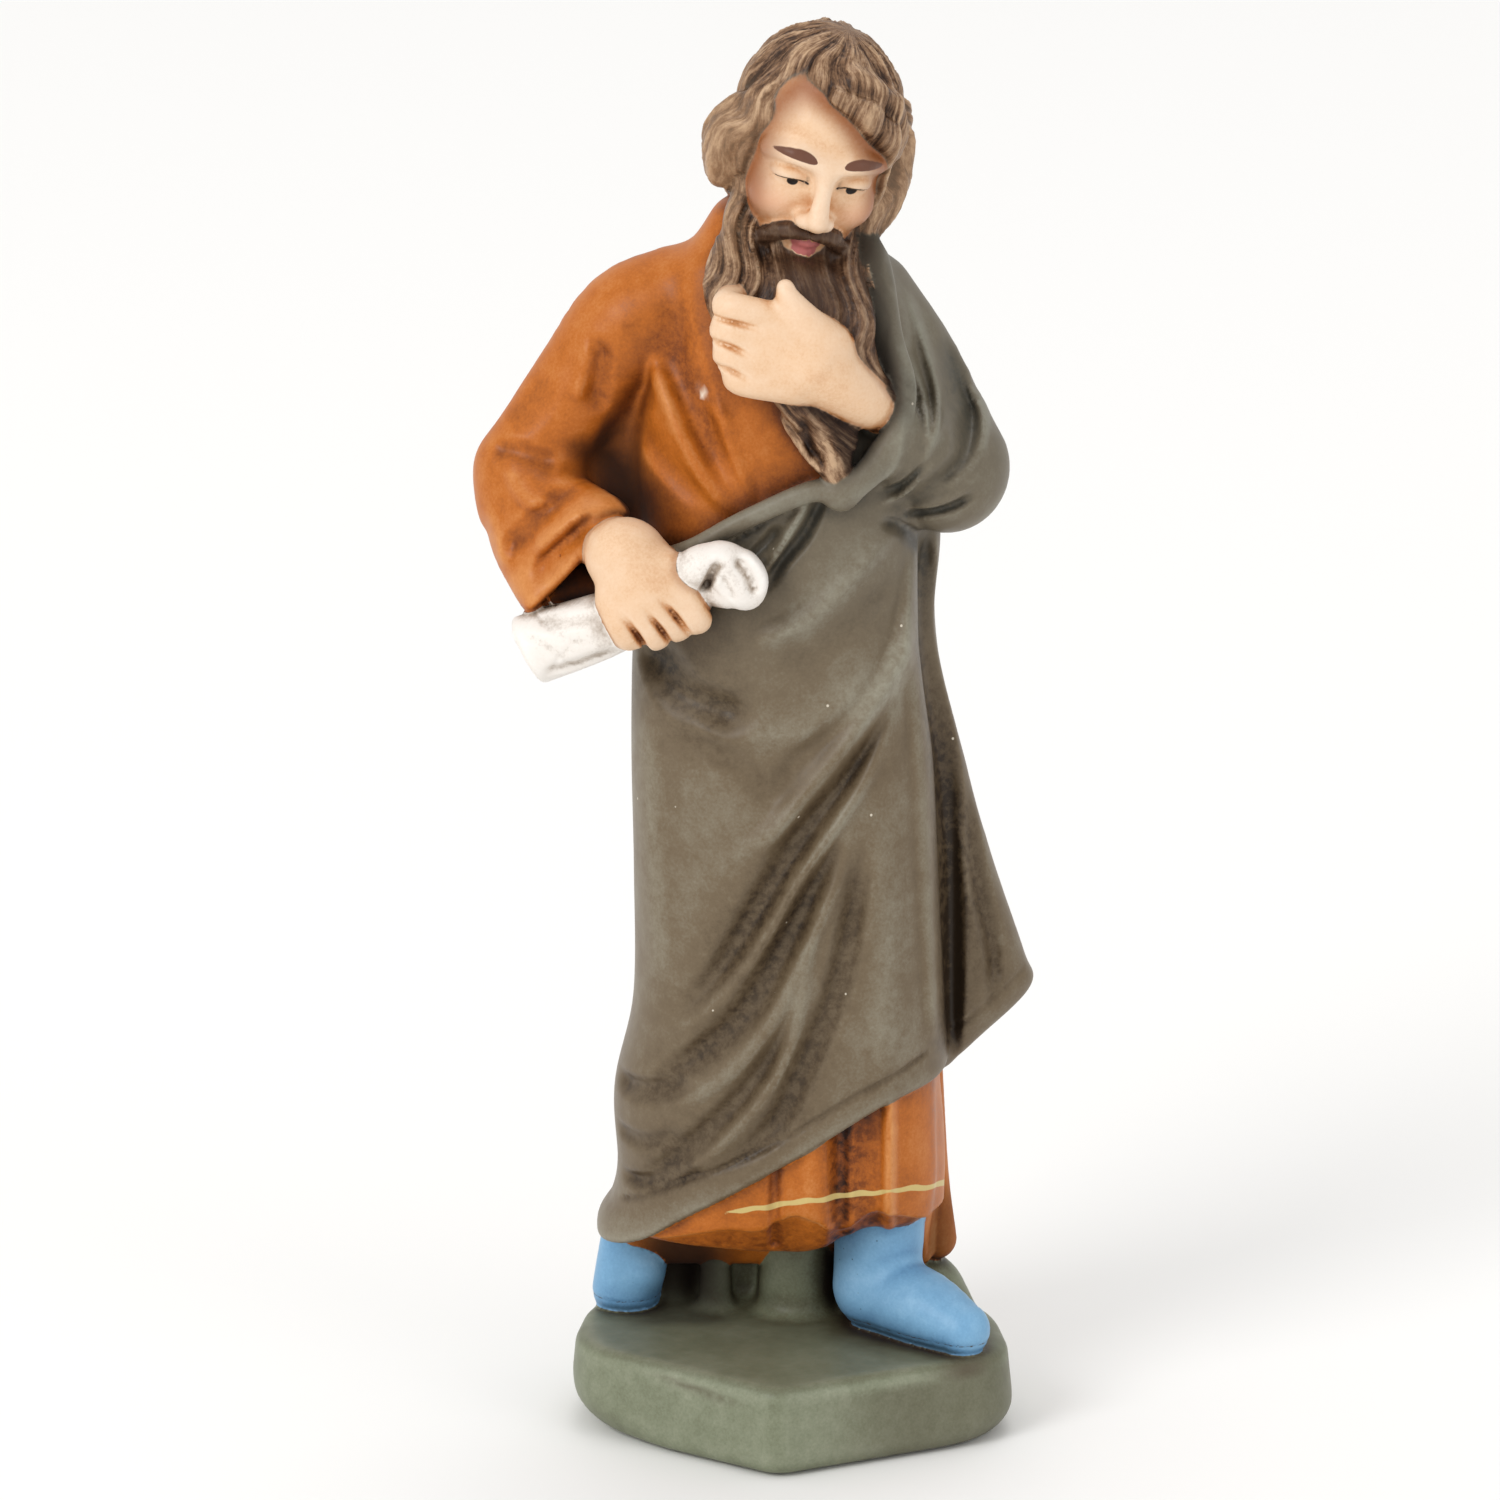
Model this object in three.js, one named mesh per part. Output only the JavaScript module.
// A nativity figure: a bearded man in tunic, mantle and boots, thinking, with a scroll in his hand.
// It is cast in one piece with its bevelled base, so the object is one closed solid.
// The form is a signed distance, negative inside, put together from rounded masses and cloth folds,
// and its surface is drawn by putting one point in each cell of a grid that the surface crosses.
// Millimetres, +Z up, -Y towards the viewer. The origin is the middle of the base's underside.
import * as THREE from "three";

// Driving dimensions.
const CELL = 2.3; // step of the grid that the surface is drawn on
const BASE_HEIGHT = 9.6;
const BASE_DRAFT = 0.9; // how far the base's sides lean in towards the top
const MANTLE_THICK = 1.0; // cloth standing proud of the tunic at the hem
const LOW = new THREE.Vector3(-37, -25, -2.6);
const HIGH = new THREE.Vector3(29, 23, 154);

const CAST = new THREE.MeshStandardMaterial({ color: 0x6f6658, roughness: 0.5, metalness: 0 });

// Base outline, its corners in order, seen from above.
const BASE_CORNERS = [[-2, -21.2], [23.4, -9.6], [21.2, 9], [3, 20], [-21.8, 11], [-24.1, -7]];

// Sections of the clothed body: height, then the reach to the left, right, front and back.
const BODY_SECTIONS = [
  [12, -18, 16, -7, 13],
  [20, -20.7, 16.4, -9.5, 14.5],
  [28, -18.5, 16.6, -11.5, 14.5],
  [36, -18.8, 16.2, -12.2, 14.4],
  [46, -16.8, 15.6, -12.5, 13.8],
  [60, -16.7, 14.8, -12.3, 13.2],
  [72, -16.9, 14.2, -12, 12.6],
  [82, -16.8, 12.8, -12, 12],
  [92, -16.4, 12.4, -11.8, 11.8],
  [104, -17.4, 13.4, -10.8, 11.5],
  [113, -16.4, 12.8, -9.8, 11],
  [119, -15.6, 12, -8.4, 10],
  [124, -14.4, 9.8, -7, 8.4],
  [127, -11, 8.4, -5.8, 7.2],
  [132, -8.2, 6.4, -4.4, 6],
];

// The lower edges of the two cloths: across, then height.
const MANTLE_HEM = [[-21, 19.2], [-16, 21.3], [-10, 25.4], [0.5, 32], [9, 37], [16, 38.6], [25, 40]];
const TUNIC_HEM = [[-14, 19.6], [-3, 19.8], [4, 22], [8, 24], [16, 24.2]];

// Folds of the mantle's front: points across and up, width, and depth (a ridge is negative).
const MANTLE_FOLDS = [
  { path: [[13, 80], [8.5, 68], [2, 59], [-4, 49], [-11, 40], [-17, 37]], width: 2.6, depth: 1.7 },
  { path: [[12.4, 88], [8.5, 76], [3, 67], [-4, 61], [-11, 57]], width: 2.8, depth: -0.9 },
  { path: [[9, 66], [2.5, 54], [-2, 44], [-9, 34], [-17, 31]], width: 2.2, depth: -0.9 },
  { path: [[7, 60], [1.5, 50], [-3, 40], [-10, 32]], width: 2, depth: 1.4 },
  { path: [[7.6, 62], [5.5, 50], [1, 39], [-6, 31]], width: 1.9, depth: 1.3 },
  { path: [[-13, 88], [-10.5, 83], [-5, 80]], width: 3.4, depth: 1.8 },
  { path: [[12.5, 96], [6, 91], [-1, 86], [-8, 83]], width: 2.4, depth: -0.7 },
  { path: [[-9, 97], [-3, 101], [4, 104.5]], width: 1.7, depth: -1.1 },
  { path: [[-2, 96], [2, 100], [4.5, 103]], width: 1.5, depth: 1 },
];
const CHEST_FOLDS = [
  { path: [[-13.5, 119], [-11, 108], [-6, 99]], width: 2, depth: -0.9 },
  { path: [[-9, 120], [-7.5, 109], [-2, 100]], width: 2, depth: 0.8 },
  { path: [[-4, 112], [-2.5, 105], [0.5, 101]], width: 1.6, depth: 0.6 },
];

// The value in one column of a table at a place in its first column: straight lines between the rows,
// level beyond the ends.
function along(table, at, column = 1) {
  const after = table.findIndex(([place]) => place >= at);
  if (after === 0) return table[0][column];
  if (after < 0) return table[table.length - 1][column];
  const [from, to] = [table[after - 1], table[after]];
  return from[column] + ((to[column] - from[column]) * (at - from[0])) / (to[0] - from[0]);
}

// Rounded joins: k is the reach of the rounding.
const smoothMin = (a, b, k) => {
  const h = Math.max(k - Math.abs(a - b), 0) / k;
  return Math.min(a, b) - (h * h * k) / 4;
};
const smoothMax = (a, b, k) => -smoothMin(-a, -b, k);
const join = (k, ...shapes) => (x, y, z) =>
  shapes.reduce((d, shape) => smoothMin(d, shape(x, y, z), k), 1e3);

// An egg-shaped mass, turned by degrees about the axis that runs front to back.
function mass([cx, cy, cz], [rx, ry, rz], roll = 0) {
  const [c, s] = [Math.cos(THREE.MathUtils.degToRad(roll)), Math.sin(THREE.MathUtils.degToRad(roll))];
  return (x, y, z) => {
    const [dx, dy, dz] = [(x - cx) * c - (z - cz) * s, y - cy, (x - cx) * s + (z - cz) * c];
    const near = Math.hypot(dx / rx, dy / ry, dz / rz);
    const steep = Math.hypot(dx / rx ** 2, dy / ry ** 2, dz / rz ** 2);
    return steep < 1e-9 ? -Math.min(rx, ry, rz) : (near * (near - 1)) / steep;
  };
}

// A limb that thickens evenly from one end to the other.
function limb([ax, ay, az], [bx, by, bz], startRadius, endRadius) {
  const [ux, uy, uz] = [bx - ax, by - ay, bz - az];
  const length2 = ux * ux + uy * uy + uz * uz;
  return (x, y, z) => {
    const [px, py, pz] = [x - ax, y - ay, z - az];
    const t = Math.min(Math.max((px * ux + py * uy + pz * uz) / length2, 0), 1);
    return Math.hypot(px - ux * t, py - uy * t, pz - uz * t) - startRadius - (endRadius - startRadius) * t;
  };
}

// How far a point across and up lies from a fold's line.
function fromLine(path, x, z) {
  let least = Infinity;
  for (let i = 1; i < path.length; i++) {
    const [[ax, az], [bx, bz]] = [path[i - 1], path[i]];
    const [ux, uz] = [bx - ax, bz - az];
    const t = Math.min(Math.max(((x - ax) * ux + (z - az) * uz) / (ux * ux + uz * uz), 0), 1);
    least = Math.min(least, Math.hypot(x - ax - ux * t, z - az - uz * t));
  }
  return least;
}

// What the folds take off the front of a cloth at a point.
function foldDepth(folds, x, y, z) {
  if (y > -1) return 0;
  const front = Math.min(1, (-1 - y) / 5);
  let depth = 0;
  for (const fold of folds) {
    const off = fromLine(fold.path, x, z) / fold.width;
    if (off < 1) depth += fold.depth * front * (1 - off * off) ** 2;
  }
  return depth;
}

// The clothed body's round column, without its ends.
function column(x, y, z) {
  const [left, right, front, back] = [1, 2, 3, 4].map((c) => along(BODY_SECTIONS, z, c));
  const [cx, cy] = [(left + right) / 2, (front + back) / 2];
  const power = 2.4;
  const round = (Math.abs((x - cx) / ((right - left) / 2)) ** power
    + Math.abs((y - cy) / ((back - front) / 2)) ** power) ** (1 / power);
  const out = Math.hypot(x - cx, y - cy);
  return round < 1e-6 ? -8 : out * (1 - 1 / round);
}

// The torso and skirt of the tunic, with broad pleats over the feet.
function tunic(x, y, z) {
  const pleats = z < 40 ? 0.5 * Math.cos(x * 0.95 + 1.2) : 0;
  const skirt = column(x, y, z) + MANTLE_THICK + pleats + foldDepth(CHEST_FOLDS, x, y, z);
  const hem = y > 4 ? 15 : along(TUNIC_HEM, x);
  return smoothMax(smoothMax(skirt, hem - z, 1.5), z - 131, 2);
}

// The mantle over hips and legs: it hangs from the belly to a slanting hem.
function mantle(x, y, z) {
  const cloth = column(x, y, z) + foldDepth(MANTLE_FOLDS, x, y, z);
  const top = y > 2 ? 122 : 98 + (x + 10) * 0.46;
  return smoothMax(smoothMax(cloth, along(MANTLE_HEM, x) - z, 1.2), z - top, 1.6);
}

// The mantle's loose end, hanging in a point behind the left side.
const mantleTail = join(
  3,
  limb([11.5, 5, 92], [14.5, 6, 70], 3.2, 4),
  limb([14.5, 6, 70], [18.6, 6.5, 50], 4, 4.4),
  limb([18.6, 6.5, 50], [22.3, 6.5, 44.6], 4.2, 2.2),
  limb([16, 6, 44], [20, 6.5, 45], 3.6, 3.4),
);

// The mantle over the left shoulder and round the raised arm.
const mantleArm = join(
  3,
  limb([7.6, 3, 120], [12.2, 2.4, 112.2], 4.6, 5.2),
  limb([12.2, 2.4, 112.2], [15.6, 0.8, 103.2], 5.2, 6.1),
  limb([15.4, -2, 102.4], [10.6, -7, 107], 5.6, 4.6),
);

// The right arm in its wide sleeve, bent, with the cuff hanging below the wrist. The last three limbs
// fill the cuff down to the scroll and close the sleeve to the body behind the elbow.
const rightSleeve = join(
  2.4,
  limb([-11.6, 1.8, 120.4], [-19.4, 1.8, 113.8], 5.4, 5.6),
  limb([-19.4, 1.8, 113.8], [-27.6, 1, 102.6], 5.6, 5),
  limb([-27.6, 0.5, 101.4], [-24.5, -4, 99], 4.8, 4.7),
  limb([-24.5, -4, 99], [-20.2, -7.6, 98.2], 4.7, 3.8),
  limb([-27.6, -1, 98], [-25.8, -6.4, 91], 4.2, 2.4),
  limb([-25.4, -6, 91], [-19, -9, 92.6], 2.8, 3.6),
  limb([-24.6, 3, 99.5], [-10, 4, 97], 4.4, 7),
  limb([-20, 4.6, 110], [-12, 4.6, 109], 4, 6.5),
);

const rightFist = join(
  1.4,
  limb([-21, -7.5, 97], [-16, -12.5, 95], 3.6, 4.6),
  mass([-14.6, -13.6, 93.6], [5.2, 4, 5.2], 35),
  limb([-11.5, -15.6, 93.6], [-9.8, -16.2, 90.6], 2, 1.8),
  limb([-13.8, -16, 92], [-12.2, -16.4, 89.2], 2, 1.8),
  limb([-16.2, -15.8, 91], [-14.8, -16, 88.2], 2, 1.8),
);

const scroll = join(
  0.8,
  limb([-26.4, -9.5, 87.2], [-15, -13.5, 91.5], 3.2, 3.2),
  limb([-15, -13.5, 91.5], [-6, -16, 95.2], 3.2, 3.4),
);

// Head, hair and beard, tilted to the figure's left and bowed.
const head = join(
  2,
  mass([2.4, -1.2, 138.8], [9.2, 9.6, 11.2], 12),
  mass([1.6, -5.4, 133.5], [7, 6.8, 9.5], 12),
  mass([-6.8, -0.6, 135.6], [3.4, 5.4, 5.8]),
  mass([8.6, 0, 134], [3.2, 5.6, 8]),
  limb([1, 1.2, 130], [1, 2.2, 121], 6.2, 7.4),
);
const brow = limb([-1.6, -10.4, 137.4], [7.4, -9, 137], 1.2, 1.2);
const nose = limb([3.1, -10.6, 136.4], [2.2, -12, 131], 1.4, 2.1);
const beard = join(
  2.4,
  mass([-0.6, -8, 124], [7.2, 5.2, 7.6], 8),
  limb([1.6, -9.6, 118], [4.2, -11, 105], 4.6, 2),
);

// The left hand held to the beard, back of the hand forward.
const leftHand = join(
  1.2,
  limb([9.4, -8.6, 111], [3, -13.4, 117.4], 3.4, 3.8),
  mass([0.4, -14.6, 119.4], [5, 3, 4.6], -25),
  ...[[-5.8, 123.6], [-6.2, 120.8], [-6, 118.2], [-5.2, 115.8]].map(([x, z]) =>
    limb([1, -15.2, z - 0.8], [x, -15.4, z], 2, 1.7)),
  limb([3, -14.6, 121.4], [-0.6, -15.6, 126], 1.9, 1.3),
);

// Both boots; the left one steps forward and outward.
const boots = join(
  1.5,
  limb([-16.8, 7, 19], [-17.2, 6.4, 12.6], 3.6, 3.6),
  limb([9.6, 0.5, 23], [8.6, 1, 13.2], 4.3, 4.2),
  limb([8.6, 1, 12.8], [17, -7.6, 12], 3.8, 3.1),
);

// The mass between the feet that carries the skirt.
const support = join(
  3,
  limb([-8, 7, 18], [-8, 7, 9], 5.5, 6),
  limb([5, 6, 18], [5, 6, 9], 6, 6),
  mass([13, 9, 14], [5, 5, 8]),
);

// The bevelled base, flat underneath.
function base(x, y, z) {
  const lean = (BASE_DRAFT * Math.max(z - 3, 0)) / BASE_HEIGHT;
  let side = -1e3;
  BASE_CORNERS.forEach(([ax, ay], i) => {
    const [bx, by] = BASE_CORNERS[(i + 1) % BASE_CORNERS.length];
    const length = Math.hypot(bx - ax, by - ay);
    side = smoothMax(side, ((x - ax) * (by - ay) - (y - ay) * (bx - ax)) / length + lean, 2.4);
  });
  return smoothMax(side, z - BASE_HEIGHT, 1.2);
}

const face = join(1.2, head, brow, nose);
const standing = join(2, tunic, mantle, mantleTail, mantleArm, rightSleeve, support, face, beard);
const figure = join(0.8, standing, rightFist, scroll, leftHand, boots, base);
const cast = (x, y, z) => Math.max(figure(x, y, z), -z);

// Samples inside that touch only across a square's or a cube's diagonal would leave an edge or a point
// shared by two sheets of surface. The sample nearest the surface there changes sides, once at most.
function partCornerContacts(value, n, least) {
  const step = [1, n[0], n[0] * n[1]];
  const squares = [[step[0], step[1]], [step[0], step[2]], [step[1], step[2]]];
  const diagonals = [[1, 1, 1], [-1, 1, 1], [1, -1, 1], [-1, -1, 1]];
  const changed = new Set();
  const changeOne = (samples) => {
    const free = samples.filter((s) => !changed.has(s)).sort((a, b) => Math.abs(value[a]) - Math.abs(value[b]));
    if (!free.length) return false;
    value[free[0]] = value[free[0]] < 0 ? least : -least;
    changed.add(free[0]);
    return true;
  };
  let again = true;
  while (again) {
    again = false;
    for (let k = 1; k < n[2] - 1; k++)
      for (let j = 1; j < n[1] - 1; j++)
        for (let i = 1; i < n[0] - 1; i++) {
          const here = i + n[0] * (j + n[1] * k);
          for (const [u, v] of squares) {
            const ring = [here, here + u, here + u + v, here + v];
            const inside = ring.map((c) => value[c] < 0);
            if (inside[0] === inside[2] && inside[1] === inside[3] && inside[0] !== inside[1])
              again = changeOne(ring) || again;
          }
          for (const [a, b, c] of diagonals) {
            const [du, dv, dw] = [a * step[0], b * step[1], c * step[2]];
            const far = here + du + dv + dw;
            const others = [du, dv, dw].flatMap((d) => [here + d, far - d]);
            const inside = value[here] < 0;
            if (inside === value[far] < 0 && others.every((o) => (value[o] < 0) !== inside))
              again = changeOne([here, far, ...others]) || again;
          }
        }
  }
}

// Draws the surface of a signed distance as one closed mesh: each grid cell that the surface crosses
// gets one point, the mean of its edges' crossings, and each crossed edge joins its four cells.
function surfaceOf(distance, low, high, cell) {
  const n = [0, 1, 2].map((a) => Math.ceil((high.getComponent(a) - low.getComponent(a)) / cell) + 1);
  const node = (i, j, k) => i + n[0] * (j + n[1] * k);
  const value = new Float64Array(n[0] * n[1] * n[2]);
  const at = (i, j, k) => [low.x + i * cell, low.y + j * cell, low.z + k * cell];
  for (let k = 0; k < n[2]; k++)
    for (let j = 0; j < n[1]; j++)
      for (let i = 0; i < n[0]; i++) value[node(i, j, k)] = distance(...at(i, j, k));
  partCornerContacts(value, n, 0.05 * cell);

  const corners = [0, 1, 2, 3, 4, 5, 6, 7].map((c) => [c & 1, (c >> 1) & 1, c >> 2]);
  const edges = [];
  corners.forEach((a, ia) => corners.forEach((b, ib) => {
    if (ib > ia && a.reduce((sum, v, axis) => sum + Math.abs(v - b[axis]), 0) === 1) edges.push([a, b]);
  }));
  const points = [];
  const pointOf = new Map();
  for (let k = 0; k < n[2] - 1; k++)
    for (let j = 0; j < n[1] - 1; j++)
      for (let i = 0; i < n[0] - 1; i++) {
        const sum = [0, 0, 0];
        let crossings = 0;
        for (const [a, b] of edges) {
          const [va, vb] = [a, b].map((c) => value[node(i + c[0], j + c[1], k + c[2])]);
          if ((va < 0) === (vb < 0)) continue;
          const t = va / (va - vb);
          const origin = at(i, j, k);
          for (let axis = 0; axis < 3; axis++)
            sum[axis] += origin[axis] + (a[axis] + (b[axis] - a[axis]) * t) * cell;
          crossings++;
        }
        if (!crossings) continue;
        pointOf.set(node(i, j, k), points.length / 3);
        const [x, y, z] = sum.map((v) => v / crossings);
        points.push(x, y, z < 0.3 * cell ? 0 : z);
      }

  const faces = [];
  const quad = (a, b, c, d, turned) => {
    const [p, q, r, s] = [a, b, c, d].map((key) => pointOf.get(key));
    if (turned) faces.push(p, r, q, p, s, r);
    else faces.push(p, q, r, p, r, s);
  };
  for (let k = 1; k < n[2] - 1; k++)
    for (let j = 1; j < n[1] - 1; j++)
      for (let i = 1; i < n[0] - 1; i++) {
        const inside = value[node(i, j, k)] < 0;
        if (inside !== value[node(i + 1, j, k)] < 0)
          quad(node(i, j - 1, k - 1), node(i, j, k - 1), node(i, j, k), node(i, j - 1, k), !inside);
        if (inside !== value[node(i, j + 1, k)] < 0)
          quad(node(i - 1, j, k - 1), node(i - 1, j, k), node(i, j, k), node(i, j, k - 1), !inside);
        if (inside !== value[node(i, j, k + 1)] < 0)
          quad(node(i - 1, j - 1, k), node(i, j - 1, k), node(i, j, k), node(i - 1, j, k), !inside);
      }
  const geometry = new THREE.BufferGeometry();
  geometry.setAttribute("position", new THREE.Float32BufferAttribute(points, 3));
  geometry.setIndex(faces);
  geometry.computeVertexNormals();
  return geometry;
}

const figureMesh = new THREE.Mesh(surfaceOf(cast, LOW, HIGH, CELL), CAST);
figureMesh.name = "figure";

const nativityFigure = new THREE.Group();
nativityFigure.add(figureMesh);

export default nativityFigure;
